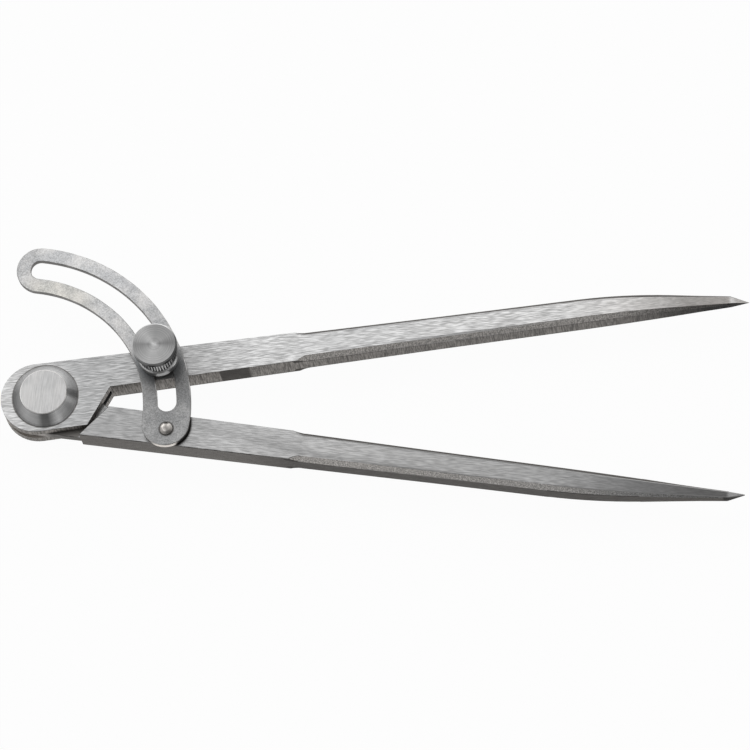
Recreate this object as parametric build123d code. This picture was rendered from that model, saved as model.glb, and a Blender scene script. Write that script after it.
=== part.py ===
from build123d import *
import os
from math import acos, atan2, cos, degrees, hypot, pi, radians, sin, sqrt

# A steel wing divider, 200 mm long when closed, lying on a table with its legs a little open.
# The fork leg's head is slotted in its middle third, and the tongue leg's middle third turns in
# that slot on a rivet. A slotted wing is riveted to the tongue leg and lies across both legs. A
# knurled screw goes through the wing's slot into the fork leg and clamps it.
#
# Each leg is drawn as if the divider were closed: the pivot is at the origin, X runs towards the
# points, and the outer side is +Y. The tongue leg is then mirrored, and each leg is turned by
# half the opening. Z = 0 is the flat face that the head rests on.

# Opening of the legs as they lie, in degrees
rest_angle = 16.57

# Legs
point_reach = 188.35
head_overhang = 12.0
head_radius = 9.65
leg_thickness = 7.2
shoulder_gap = 0.30
point_gap = 0.02
point_rise = 0.3

# Taper ground by hand towards the point, a little longer on the tongue leg
bend_width = 6.64
bend_length = 24.0
bend_steps = 8
fork_taper = 28.0
tongue_taper = 34.8

# Ground facets of the point, and the sections where they start
facet_length = 4.85
fork_facet_width = 2.3
tongue_facet_width = 1.95
facet_thickness = 2.5
facet_chamfer = 0.22

# Long chamfers of the front part, and the cutter that leaves their round ends
chamfer_reach = 71.0
chamfer_size = 1.25
cutter_radius = 6.5

# Fork and tongue joint
tongue_thickness = 2.34
layer_gap = 0.03
notch_reach = 14.1
notch_angle = 35.0
corner_clearance = 0.22
mortise_clearance = 0.4

# Pivot rivet and its washer
pivot_diameter = 8.0
running_clearance = 0.05
cone_base = 17.5
cone_top = 12.65
cone_height = 3.35
cone_edge = 0.18
peened_diameter = 9.2
peened_depth = 0.9

# Wing, measured along its middle line from the rivet
wing_radius = 41.11
wing_angle = 90.3
wing_width = 12.72
wing_thickness = 1.6
wing_past_rivet = 4.72
slot_width = 5.17
slot_from_rivet = 7.48
slide_gap = 0.03

# Wing rivet, placed on the tongue leg
wing_rivet_reach = 34.3
wing_rivet_side = 5.08
rivet_off_line = 0.48
wing_rivet_diameter = 2.5
dome_diameter = 3.6
dome_height = 0.9
tail_diameter = 3.7
tail_depth = 0.7

# Clamp screw, placed on the fork leg
screw_behind_rivet = 2.91
screw_side = 5.9
screw_off_line = 0.12
thread_diameter = 3.0
thread_clearance = 0.05
screw_end_inset = 0.6
screw_end_chamfer = 0.4
neck_diameter = 2.7
neck_sunk = 0.8
collar_diameter = 10.9
collar_height = 2.3
collar_edge = 0.45
groove_diameter = 9.4
groove_height = 0.7
knurl_diameter = 10.5
knurl_height = 4.7
knurl_ridges = 42
knurl_depth = 0.38
ridge_share = 0.24
cap_diameter = 12.0
cap_height = 1.6
cap_edge = 0.35

# Heights that follow, from the middle plane of the legs
half_thickness = leg_thickness / 2
face_height = half_thickness + cone_height
wing_under = half_thickness + slide_gap
wing_top = wing_under + wing_thickness
collar_under = wing_top + slide_gap
facet_reach = point_reach - facet_length
screw_reach = wing_rivet_reach - screw_behind_rivet


def along(line, x):
    """Height at x of a straight line given by two points."""
    start, end = line
    return start[1] + (end[1] - start[1]) * (x - start[0]) / (end[0] - start[0])


def crossing(line, reach, angle):
    """Point of a line on the cross line whose square distance from the pivot is reach."""
    start, end = line
    normal = (cos(radians(angle)), sin(radians(angle)))
    step = (end[0] - start[0], end[1] - start[1])
    behind = reach - normal[0] * start[0] - normal[1] * start[1]
    share = behind / (normal[0] * step[0] + normal[1] * step[1])
    return (start[0] + share * step[0], start[1] + share * step[1])


def tangent_angle(centre_x, radius, point, side):
    """Direction from a circle's centre to where the line from a point touches the circle."""
    dx, dy = point[0] - centre_x, point[1]
    return atan2(dy, dx) + side * acos(radius / hypot(dx, dy))


def bent(x, back, bend, facet):
    """Height of a line that turns at the bend towards the facets, rounded over bend_length."""
    start = bend[0] - bend_length / 2
    end = bend[0] + bend_length / 2
    if x <= start:
        return along((back, bend), x)
    if x >= end:
        return along((bend, facet), x)
    share = (x - start) / bend_length
    before = along((back, bend), start)
    after = along((bend, facet), end)
    return before * (1 - share) ** 2 + 2 * share * (1 - share) * bend[1] + after * share**2


# Outer edge of a leg: tangent to the head's round and straight to the bend
head_centre = head_radius - head_overhang
bend_outer = (facet_reach - fork_taper, bend_width)
outer_angle = tangent_angle(head_centre, head_radius, bend_outer, 1)
outer_start = (head_centre + head_radius * cos(outer_angle), head_radius * sin(outer_angle))
outer_back = (outer_start, bend_outer)
chamfer_outer = (chamfer_reach, along(outer_back, chamfer_reach))

# Inner edge, just short of the line on which the legs close
inner_line = ((head_radius, shoulder_gap), (point_reach, point_gap))
chamfer_inner = (chamfer_reach, along(inner_line, chamfer_reach))

# The fork's notch, whose corner passes the tongue leg's shoulder as the legs turn
head_side = ((head_centre, -head_radius), (head_overhang, -head_radius))
notch_corner = crossing(head_side, notch_reach, -notch_angle)
notch_inner = crossing(inner_line, notch_reach, -notch_angle)
shoulder_reach = hypot(notch_corner[0], notch_corner[1]) + corner_clearance
shoulder_outer = crossing(outer_back, shoulder_reach, notch_angle)
shoulder_inner = crossing(inner_line, shoulder_reach, notch_angle)

# The tongue is round about the pivot, flush with the outer edge, with a straight inner side
tongue_radius = head_radius + head_centre * cos(outer_angle)
tongue_angle = tangent_angle(0, tongue_radius, shoulder_inner, -1)
mortise_height = tongue_thickness + 2 * layer_gap


def leg_section(x, bend_reach, facet_width):
    """Eight-sided section across the chamfered part of a leg."""

    def turning(back, bend_height, facet_height):
        return bent(x, back, (bend_reach, bend_height), (facet_reach, facet_height))

    inner = along(inner_line, x)
    outer = turning(outer_start, along(outer_back, bend_reach), facet_width)
    half = turning((0, half_thickness), half_thickness, facet_thickness / 2)
    cut = turning((0, chamfer_size), chamfer_size, facet_chamfer)
    corners = [
        (inner + cut, -half),
        (outer - cut, -half),
        (outer, cut - half),
        (outer, half - cut),
        (outer - cut, half),
        (inner + cut, half),
        (inner, half - cut),
        (inner, cut - half),
    ]
    across = Plane(origin=(x, 0, 0), x_dir=(0, 1, 0), z_dir=(1, 0, 0))
    return make_face(across * Polyline(*corners, close=True))


def leg_front(taper, facet_width):
    """Chamfered part of a leg, from the start of the chamfers to the ground point."""
    bend_reach = facet_reach - taper
    bend_start = bend_reach - bend_length / 2
    bend = [bend_start + bend_length * step / bend_steps for step in range(bend_steps + 1)]
    reaches = [chamfer_reach, *bend, facet_reach]
    sections = [leg_section(x, bend_reach, facet_width) for x in reaches]
    point = Vertex(point_reach, along(inner_line, point_reach), point_rise)
    return loft([*sections, point], ruled=True)


def chamfer_ends():
    """Round cutters that leave the curved start of the four long chamfers."""
    cutters = []
    middle = chamfer_size / 2
    away = cutter_radius / sqrt(2)
    for edge, side in ((chamfer_outer[1], 1), (chamfer_inner[1], -1)):
        for face in (1, -1):
            y = edge + side * (away - middle)
            z = face * (half_thickness - middle + away)
            axis = Plane(origin=(chamfer_reach, y, z), z_dir=(0, side, -face))
            cutters.append(axis * Cylinder(cutter_radius, 4 * chamfer_size))
    return cutters


def plan(outline, arc_middle):
    """Flat face inside an outline whose last point is joined to its first by an arc."""
    arc = ThreePointArc(outline[-1], arc_middle, outline[0])
    return make_face([*Polyline(*outline).edges(), arc])


def make_fork_leg():
    """Leg with the slotted head, drawn closed."""
    outline = [
        outer_start,
        chamfer_outer,
        chamfer_inner,
        notch_inner,
        notch_corner,
        (head_centre, -head_radius),
    ]
    leg = extrude(plan(outline, (-head_overhang, 0)), half_thickness, both=True)
    leg = leg - chamfer_ends() + leg_front(fork_taper, fork_facet_width)

    # The mortise is open all round the head, and its bottom follows the closed tongue
    size = 4 * (head_overhang + head_radius)
    depth = tongue_radius + mortise_clearance
    slot = Pos(depth - size / 2, 0, 0) * Box(size, size, mortise_height)
    leg -= Rot(0, 0, -degrees(tongue_angle)) * slot

    leg -= Cylinder(pivot_diameter / 2, leg_thickness)
    tapped = Cylinder(thread_diameter / 2 + thread_clearance, leg_thickness)
    return leg - Pos(screw_reach, screw_side, 0) * tapped


def make_tongue_leg():
    """Leg with the tongue, drawn closed with its outer side on +Y."""
    touch_outer = (tongue_radius * cos(outer_angle), tongue_radius * sin(outer_angle))
    touch_inner = (tongue_radius * cos(tongue_angle), tongue_radius * sin(tongue_angle))
    outline = [touch_outer, chamfer_outer, chamfer_inner, shoulder_inner, touch_inner]
    tongue = extrude(plan(outline, (-tongue_radius, 0)), tongue_thickness / 2, both=True)
    body_outline = [shoulder_outer, chamfer_outer, chamfer_inner, shoulder_inner]
    body_plan = make_face(Polyline(*body_outline, close=True))
    leg = extrude(body_plan, half_thickness, both=True)
    leg = (leg + tongue) - chamfer_ends() + leg_front(tongue_taper, tongue_facet_width)

    leg -= Cylinder(pivot_diameter / 2 + running_clearance, leg_thickness)
    tail = countersunk(wing_rivet_diameter, tail_diameter, tail_depth, leg_thickness)
    return leg - Pos(wing_rivet_reach, wing_rivet_side, -half_thickness) * tail


def countersunk(diameter, wide_diameter, depth, length):
    """Pin that stands on its wide end at Z = 0."""
    profile = Polyline(
        (0, 0),
        (wide_diameter / 2, 0),
        (diameter / 2, depth),
        (diameter / 2, length),
        (0, length),
        close=True,
    )
    return revolve(make_face(Plane.XZ * profile), Axis.Z)


def cone():
    """Conical rivet head that stands on its broad base at Z = 0."""
    profile = Polyline(
        (0, 0),
        (cone_base / 2, 0),
        (cone_top / 2, cone_height - cone_edge),
        (cone_top / 2 - cone_edge, cone_height),
        (0, cone_height),
        close=True,
    )
    return revolve(make_face(Plane.XZ * profile), Axis.Z)


def make_pivot_rivet():
    """Rivet with its conical head above and its peened tail flush in the washer below."""
    length = face_height + half_thickness
    shank = countersunk(pivot_diameter, peened_diameter, peened_depth, length)
    return Pos(0, 0, -face_height) * shank + Pos(0, 0, half_thickness) * cone()


def make_rivet_washer():
    """Conical washer under the head, countersunk for the peened tail."""
    tail = countersunk(pivot_diameter, peened_diameter, peened_depth, cone_height)
    washer = Pos(0, 0, -half_thickness) * Rot(180, 0, 0) * cone()
    return washer - Pos(0, 0, -face_height) * tail


def circle_crossing(first, first_radius, second, second_radius):
    """Crossing of two circles, on the left of the way from the first centre to the second."""
    dx, dy = second[0] - first[0], second[1] - first[1]
    gap = hypot(dx, dy)
    share = (gap**2 + first_radius**2 - second_radius**2) / (2 * gap * first_radius)
    angle = atan2(dy, dx) + acos(share)
    return (first[0] + first_radius * cos(angle), first[1] + first_radius * sin(angle))


def turned(point, angle):
    """Point turned about the pivot by an angle in degrees."""
    c, s = cos(radians(angle)), sin(radians(angle))
    return (point[0] * c - point[1] * s, point[0] * s + point[1] * c)


# Places of the wing's rivet and screw with the legs at rest, and the wing's arc through both
half_angle = rest_angle / 2
rivet_place = turned((wing_rivet_reach, -wing_rivet_side), -half_angle)
screw_place = turned((screw_reach, screw_side), half_angle)
wing_centre = circle_crossing(
    rivet_place, wing_radius + rivet_off_line, screw_place, wing_radius + screw_off_line
)
rivet_angle = atan2(rivet_place[1] - wing_centre[1], rivet_place[0] - wing_centre[0])


def wing_band(start, width):
    """Band along the wing's middle line, from a distance past the rivet to the slot's end."""
    start_angle = degrees(start / wing_radius)
    sweep = wing_angle - start_angle
    arc = CenterArc(wing_centre, wing_radius, degrees(rivet_angle) + start_angle, sweep)
    return SlotArc(arc, width)


def make_wing():
    """Plate with a long curved slot, round at both ends."""
    face = wing_band(wing_width / 2 - wing_past_rivet, wing_width)
    face -= wing_band(slot_from_rivet, slot_width)
    face -= Pos(*rivet_place) * Circle(wing_rivet_diameter / 2 + running_clearance)
    return Pos(0, 0, wing_under) * extrude(face, wing_thickness)


def make_wing_rivet():
    """Small rivet, domed above the wing and peened flush under the tongue leg."""
    length = half_thickness + wing_top
    shank = countersunk(wing_rivet_diameter, tail_diameter, tail_depth, length)
    radius = dome_diameter / 2
    sphere_radius = (radius**2 + dome_height**2) / (2 * dome_height)
    ball = Pos(0, 0, dome_height - sphere_radius) * Sphere(sphere_radius)
    dome = split(ball, Plane.XY, keep=Keep.TOP)
    x, y = rivet_place
    return Pos(x, y, -half_thickness) * shank + Pos(x, y, wing_top) * dome


def knurl():
    """Band of straight ridges, standing on Z = 0."""
    outline = []
    pitch = 2 * pi / knurl_ridges
    tip = knurl_diameter / 2
    root = tip - knurl_depth
    for ridge in range(knurl_ridges):
        for share, radius in ((0, tip), (ridge_share, tip), (0.5, root), (0.5 + ridge_share, root)):
            angle = (ridge + share) * pitch
            outline.append((radius * cos(angle), radius * sin(angle)))
    return extrude(make_face(Polyline(*outline, close=True)), knurl_height)


def make_clamp_screw():
    """Thumb screw: plain turned stem, collar, groove, knurled grip and flat cap."""
    end = screw_end_inset - half_thickness
    neck = half_thickness - neck_sunk
    groove = collar_under + collar_height
    grip = groove + groove_height
    cap = grip + knurl_height
    top = cap + cap_height
    thread_r, neck_r = thread_diameter / 2, neck_diameter / 2
    collar_r, groove_r, cap_r = collar_diameter / 2, groove_diameter / 2, cap_diameter / 2
    stem_line = Polyline(
        (0, end),
        (thread_r - screw_end_chamfer, end),
        (thread_r, end + screw_end_chamfer),
        (thread_r, neck - (thread_r - neck_r)),
        (neck_r, neck),
        (neck_r, collar_under),
        (collar_r, collar_under),
        (collar_r, groove - collar_edge),
    )
    collar_round = RadiusArc(
        (collar_r, groove - collar_edge), (collar_r - collar_edge, groove), -collar_edge
    )
    cap_line = Polyline(
        (collar_r - collar_edge, groove),
        (groove_r, groove),
        (groove_r, cap),
        (cap_r, cap),
        (cap_r, top - cap_edge),
        (cap_r - cap_edge, top),
        (0, top),
        (0, end),
    )
    outline = make_face([*stem_line.edges(), collar_round, *cap_line.edges()])
    screw = revolve(Plane.XZ * outline, Axis.Z) + Pos(0, 0, grip) * knurl()
    return Pos(*screw_place, 0) * screw


fork_leg = Rot(0, 0, half_angle) * make_fork_leg()
tongue_leg = Rot(0, 0, -half_angle) * mirror(make_tongue_leg(), Plane.XZ)
parts = {
    "fork_leg": fork_leg,
    "tongue_leg": tongue_leg,
    "pivot_rivet": make_pivot_rivet(),
    "rivet_washer": make_rivet_washer(),
    "wing": make_wing(),
    "wing_rivet": make_wing_rivet(),
    "clamp_screw": make_clamp_screw(),
}

os.makedirs("parts", exist_ok=True)
for name, solid in parts.items():
    export_step(Pos(0, 0, face_height) * solid, f"parts/{name}.step")

print("height of the legs' middle plane", round(face_height, 4))
print("wing rivet at", [round(value, 4) for value in rivet_place])
print("clamp screw at", [round(value, 4) for value in screw_place])
print("wing arc centre at", [round(value, 4) for value in wing_centre])
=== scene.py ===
import logging
import math
from dataclasses import dataclass, replace
from enum import Enum, IntEnum

import bpy
from mathutils import Matrix, Vector


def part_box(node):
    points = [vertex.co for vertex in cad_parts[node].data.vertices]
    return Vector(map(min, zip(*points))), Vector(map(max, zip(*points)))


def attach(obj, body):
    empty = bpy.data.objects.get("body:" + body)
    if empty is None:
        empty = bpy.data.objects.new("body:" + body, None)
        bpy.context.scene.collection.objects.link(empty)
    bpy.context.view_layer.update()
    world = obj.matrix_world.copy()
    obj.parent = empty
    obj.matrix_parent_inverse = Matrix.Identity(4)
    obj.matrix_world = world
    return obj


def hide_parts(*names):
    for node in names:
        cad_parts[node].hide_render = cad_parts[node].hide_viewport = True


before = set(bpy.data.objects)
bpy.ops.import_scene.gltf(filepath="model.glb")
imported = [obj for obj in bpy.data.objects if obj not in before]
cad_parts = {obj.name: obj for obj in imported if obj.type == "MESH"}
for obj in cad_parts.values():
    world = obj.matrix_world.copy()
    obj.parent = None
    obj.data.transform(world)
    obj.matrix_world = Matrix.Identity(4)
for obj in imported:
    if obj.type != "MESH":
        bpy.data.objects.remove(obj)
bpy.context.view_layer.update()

LOG = logging.getLogger("wing_divider")
MM = 0.001
SMOOTH_ANGLE = math.radians(20)

Material = bpy.types.Material
Node = bpy.types.Node
NodeTree = bpy.types.NodeTree
Piece = bpy.types.Object
Socket = bpy.types.NodeSocket
Value = float | Socket
Point = tuple[float, float]
Place = tuple[float, float, float]
Colour = tuple[float, float, float, float]
Tones = tuple[tuple[float, ...], ...]
Sectors = tuple[Point, ...]

EVEN: Tones = ((-0.012, 1.0), (0.19, 1.0))


class Marks(Enum):
    """Direction in which a surface was ground, turned or rubbed."""

    STRAIGHT = "straight"
    ROUND = "round"
    NONE = "none"


class Mask(Enum):
    """What is taken from the circle effect: a ring, or the disc inside it."""

    RING = "Ring"
    DISC = "Disc"


class Slot(IntEnum):
    """Material slots of the turned pieces."""

    SIDE = 0
    FACE = 1
    RIM = 2
    GAP = 3
    WALL = 4
    COLLAR = 5


def grey(value: float, warmth: float = 0.0) -> Colour:
    """Colour of a grey, a little warmer for a positive warmth and cooler for a negative one."""
    return (value * (1 + warmth), value, value * (1 - warmth), 1.0)


def middle(low: Vector, high: Vector) -> Point:
    """Place in plan of the axis of a round piece, from the two corners of its box."""
    return ((low.x + high.x) / 2, (low.y + high.y) / 2)


class Graph:
    """A shader node tree that nodes are added to by kind, with their sockets given by name."""

    def __init__(self, tree: NodeTree) -> None:
        """Holds the node tree and empties it."""
        self.tree = tree
        self.tree.nodes.clear()

    def add(self, kind: str, sockets: dict | None = None, **settings: object) -> Node:
        """Adds one node.

        Args:
            kind: Name of the node's type.
            sockets: Input socket name or index, and the value or output socket it gets.
            settings: Attributes of the node itself.

        Returns:
            The new node.
        """
        node = self.tree.nodes.new(kind)
        for name, value in settings.items():
            setattr(node, name, value)
        for name, value in (sockets or {}).items():
            if isinstance(value, Socket):
                self.tree.links.new(value, node.inputs[name])
            else:
                node.inputs[name].default_value = value
        return node

    def effect(self, group: NodeTree, **values: object) -> bpy.types.bpy_prop_collection:
        """Places a shared group with its own values and returns its outputs."""
        return self.add("ShaderNodeGroup", values, node_tree=group).outputs

    def math(self, operation: str, *values: Value, clamp: bool = False) -> Socket:
        """Adds a Math node for one to three values, whose result may be kept from 0 to 1."""
        sockets = dict(enumerate(values))
        return self.add("ShaderNodeMath", sockets, operation=operation, use_clamp=clamp).outputs[0]

    def times(self, first: Value, second: Value) -> Socket:
        """Multiplies two values."""
        return self.math("MULTIPLY", first, second)

    def span(self, value: Socket, low: float, high: float, start: float = 0.0, end: float = 1.0) -> Socket:
        """Maps a value from low..high to start..end, smoothly and without leaving that range."""
        sockets = {"Value": value, "From Min": low, "From Max": high, "To Min": start, "To Max": end}
        return self.add("ShaderNodeMapRange", sockets, interpolation_type="SMOOTHSTEP").outputs["Result"]

    def blend(
        self, factor: Value, first: Colour | Socket, second: Colour | Socket, mode: str = "MIX"
    ) -> Socket:
        """Mixes two colours, with the factor as the share of the second."""
        sockets = {0: factor, 6: first, 7: second}
        return self.add("ShaderNodeMix", sockets, data_type="RGBA", blend_type=mode).outputs[2]

    def tint(self, colour: Socket, tint: Colour | Socket) -> Socket:
        """Multiplies two colours."""
        return self.blend(1.0, colour, tint, "MULTIPLY")

    def noise(self, vector: Socket, scale: Value, detail: float = 2.0, rough: float = 0.5) -> Socket:
        """Adds a noise texture: its grains a unit, and the number and strength of its finer layers."""
        sockets = {"Vector": vector, "Scale": scale, "Detail": detail, "Roughness": rough}
        return self.add("ShaderNodeTexNoise", sockets).outputs["Fac"]

    def stretch(self, vector: Socket, scale: Place | Socket) -> Socket:
        """Multiplies coordinates by a vector."""
        return self.add("ShaderNodeVectorMath", {0: vector, 1: scale}, operation="MULTIPLY").outputs[0]

    def turn(self, vector: Socket, angle: float) -> Socket:
        """Turns coordinates so that X runs along an angle in plan."""
        return self.add("ShaderNodeMapping", {"Vector": vector, "Rotation": (0, 0, -angle)}).outputs[0]

    def radius(self, vector: Socket) -> Socket:
        """Measures how far a place is from the Z axis."""
        flat = self.stretch(vector, (1.0, 1.0, 0.0))
        return self.add("ShaderNodeVectorMath", {0: flat}, operation="LENGTH").outputs["Value"]

    def axis(self, vector: Socket, name: str) -> Socket:
        """Takes one axis of a vector."""
        return self.add("ShaderNodeSeparateXYZ", {0: vector}).outputs[name]

    def ramp(self, value: Socket, stops: list[tuple[float, Colour]]) -> Socket:
        """Turns a value into a colour that goes from stop to stop, and up to twice as light.

        Args:
            value: The socket that is looked up.
            stops: Position from 0 to 1 and half the colour of each stop, in order.

        Returns:
            The colour's socket.
        """
        node = self.add("ShaderNodeValToRGB", {"Fac": value})
        elements = node.color_ramp.elements
        for position, colour in stops[1:-1]:
            elements.new(position).color = colour
        elements[0].position, elements[0].color = stops[0]
        elements[-1].position, elements[-1].color = stops[-1]
        return self.tint(node.outputs["Color"], grey(2.0))


class Effects:
    """Shader node groups that several finishes share, each built once."""

    vectors = ("Vector", "Axis", "Normal")
    fine_grain = (1.3, 1.5, 1.5)
    long_scratch = (0.4, 1.7, 1.7)
    stain_shift = (0.37, 0.11, 0.23)
    stain_scale = 0.6
    broad_rings = 0.22

    def __init__(self) -> None:
        """Builds every group."""
        self.grain = self._grain()
        self.speckle = self._speckle()
        self.rings = self._rings()
        self.sides = self._sides()
        self.circle = self._circle()
        self.rubbed = self._rubbed()

    def _open(self, name: str, *inputs: str) -> tuple[Graph, list[Socket]]:
        """Starts a group.

        Args:
            name: Name of the group.
            inputs: Names of its inputs, each a number or one of the named vectors.

        Returns:
            Its graph and its input sockets.
        """
        tree = bpy.data.node_groups.new(name, "ShaderNodeTree")
        for title in inputs:
            kind = "NodeSocketVector" if title in self.vectors else "NodeSocketFloat"
            tree.interface.new_socket(title, in_out="INPUT", socket_type=kind)
        graph = Graph(tree)
        start = graph.add("NodeGroupInput")
        return graph, [start.outputs[title] for title in inputs]

    @staticmethod
    def _close(graph: Graph, **results: Socket) -> NodeTree:
        """Ends a group.

        Args:
            graph: The group's graph.
            results: Name and value of each output, each a number.

        Returns:
            The group.
        """
        for title in results:
            graph.tree.interface.new_socket(title, in_out="OUTPUT", socket_type="NodeSocketFloat")
        graph.add("NodeGroupOutput", results)
        return graph.tree

    def _grain(self) -> NodeTree:
        """Ground grain along X: streaks, and a few finer and longer scratches.

        Returns:
            The group.
        """
        graph, (place, along, across) = self._open("ground_grain", "Vector", "Along", "Across")
        scale = graph.add("ShaderNodeCombineXYZ", {0: along, 1: across, 2: across}).outputs[0]
        place = graph.stretch(place, scale)
        wide = graph.noise(place, 1.0, 1.0)
        fine = graph.noise(graph.stretch(place, self.fine_grain), 1.0, 1.0, 0.6)
        streaks = graph.span(graph.math("MULTIPLY_ADD", fine, 0.5, graph.times(wide, 0.5)), 0.38, 0.62)
        longer = graph.noise(graph.stretch(place, self.long_scratch), 1.0, 1.0)
        return self._close(graph, Streaks=streaks, Scratches=graph.span(longer, 0.62, 0.72))

    def _speckle(self) -> NodeTree:
        """Fine granular surface with larger blotches.

        Returns:
            The group.
        """
        graph, (place, grains, blotches) = self._open("speckle", "Vector", "Grains", "Blotches")
        sockets = {0: place, 1: self.stain_shift}
        moved = graph.add("ShaderNodeVectorMath", sockets, operation="ADD").outputs[0]
        stain = graph.noise(moved, graph.times(blotches, self.stain_scale), 2.0, 0.55)
        return self._close(
            graph,
            Grain=graph.span(graph.noise(place, grains, 2.0, 0.75), 0.32, 0.68),
            Blotch=graph.span(graph.noise(place, blotches, 4.0, 0.62), 0.36, 0.66),
            Stain=graph.span(stain, 0.45, 0.7),
        )

    def _rings(self) -> NodeTree:
        """Fine turning marks round the Z axis.

        Returns:
            The group.
        """
        graph, (place, marks) = self._open("turned_rings", "Vector", "Marks")
        results = {"Radius": graph.radius(place)}
        for title, scale, detail, rough, low, high in (
            ("Rings", marks, 2.0, 0.7, 0.3, 0.7),
            ("Broad", graph.times(marks, self.broad_rings), 1.0, 0.5, 0.35, 0.65),
        ):
            sockets = {"W": results["Radius"], "Scale": scale, "Detail": detail, "Roughness": rough}
            noise = graph.add("ShaderNodeTexNoise", sockets, noise_dimensions="1D").outputs["Fac"]
            results[title] = graph.span(noise, low, high)
        return self._close(graph, **results)

    def _sides(self) -> NodeTree:
        """Which way a face looks: long chamfers, upright walls, and what faces +Y.

        Returns:
            The group.
        """
        graph, (normal,) = self._open("sides", "Normal")
        steep = graph.math("ABSOLUTE", graph.axis(normal, "Z"))
        wall = graph.span(steep, 0.45, 0.3)
        chamfer = graph.math("SUBTRACT", graph.span(steep, 0.9, 0.8), wall, clamp=True)
        far = graph.span(graph.axis(normal, "Y"), 0.2, 0.5)
        return self._close(graph, Chamfer=chamfer, Wall=wall, Far=far)

    def _circle(self) -> NodeTree:
        """Soft ring round an upright axis, such as the painted shade round a rivet, and the disc inside it.

        Returns:
            The group.
        """
        graph, (place, axis, radius, width) = self._open("circle", "Vector", "Axis", "Radius", "Width")
        offset = graph.add("ShaderNodeVectorMath", {0: place, 1: axis}, operation="SUBTRACT").outputs[0]
        past = graph.math("DIVIDE", graph.math("SUBTRACT", graph.radius(offset), radius), width)
        ring = graph.math("SUBTRACT", 1.0, graph.math("ABSOLUTE", past), clamp=True)
        return self._close(graph, Ring=ring, Disc=graph.math("SUBTRACT", 0.5, past, clamp=True))

    def _rubbed(self) -> NodeTree:
        """Places where an edge is worn bright, and places where it isn't."""
        graph, (place, scale) = self._open("rubbed_edge", "Vector", "Scale")
        return self._close(graph, Bright=graph.span(graph.noise(place, scale, 3.0, 0.6), 0.4, 0.62))


class Coat(Graph):
    """The nodes of one steel: its shader, the shared effects, and the place and normal they work on."""

    def __init__(self, tree: NodeTree, effects: Effects, roughness: float, drawn: float) -> None:
        """Starts a metal material.

        Args:
            tree: The material's node tree.
            effects: The shared node groups.
            roughness: Plain roughness, where no map replaces it.
            drawn: How far a highlight is drawn out across the marks.
        """
        super().__init__(tree)
        self.effects = effects
        sockets = {"Metallic": 1.0, "Roughness": roughness, "Anisotropic": drawn}
        self.shader = self.add("ShaderNodeBsdfPrincipled", {**sockets, "Anisotropic Rotation": 0.25})
        self.add("ShaderNodeOutputMaterial", {"Surface": self.shader.outputs[0]})
        coordinates = self.add("ShaderNodeTexCoord").outputs
        self.place, self.normal = coordinates["Object"], coordinates["Normal"]

    def give(self, name: str, value: Socket) -> None:
        """Links a value to an input of the shader."""
        self.tree.links.new(value, self.shader.inputs[name])

    def engrave(self, height: Socket) -> None:
        """Cuts the marks into the surface."""
        sockets = {"Height": height, "Strength": 0.3, "Distance": 0.03 * MM}
        self.give("Normal", self.add("ShaderNodeBump", sockets).outputs[0])

    def circle(self, kind: Mask, centre: Point, radius: float, width: float) -> Socket:
        """Mask of a ring or a disc round an upright axis, with the reach of its soft edge."""
        circle = {"Vector": self.place, "Axis": (*centre, 0.0), "Radius": radius, "Width": width}
        return self.effect(self.effects.circle, **circle)[kind.value]


@dataclass(frozen=True)
class Finish:
    """What every steel finish has: a name, and what its shader starts with."""

    name: str
    roughness: float = 0.34
    marks: Marks = Marks.NONE
    drawn: float = 0.0
    angle: float = 0.0

    def direction(self) -> float:
        """Direction of straight marks, from the X axis."""
        return self.angle

    def paint(self, coat: Coat) -> None:
        """Gives the shader its colour, and what else a finish has of its own."""
        raise NotImplementedError

    def build(self, effects: Effects) -> Material:
        """Makes the material.

        Args:
            effects: The shared node groups.

        Returns:
            The material.
        """
        material = bpy.data.materials.new(self.name)
        material.use_nodes = True
        coat = Coat(material.node_tree, effects, self.roughness, self.drawn)
        if self.marks is Marks.STRAIGHT:
            along = (math.cos(self.direction()), math.sin(self.direction()), 0.0)
            spaces = {"vector_type": "VECTOR", "convert_from": "OBJECT", "convert_to": "WORLD"}
            coat.give("Tangent", coat.add("ShaderNodeVectorTransform", {0: along}, **spaces).outputs[0])
        elif self.marks is Marks.ROUND:
            tangent = coat.add("ShaderNodeTangent", direction_type="RADIAL", axis="Z")
            coat.give("Tangent", tangent.outputs[0])
        self.paint(coat)
        return material


@dataclass(frozen=True)
class LegMap:
    """Sockets that say where on a leg a place is, which way it faces, and what marks it has."""

    reach: Socket
    share: Socket
    off_middle: Socket
    chamfer: Socket
    wall: Socket
    far: Socket
    leaning: Socket
    streaks: Socket
    scratches: Socket
    cross: Socket


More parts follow.
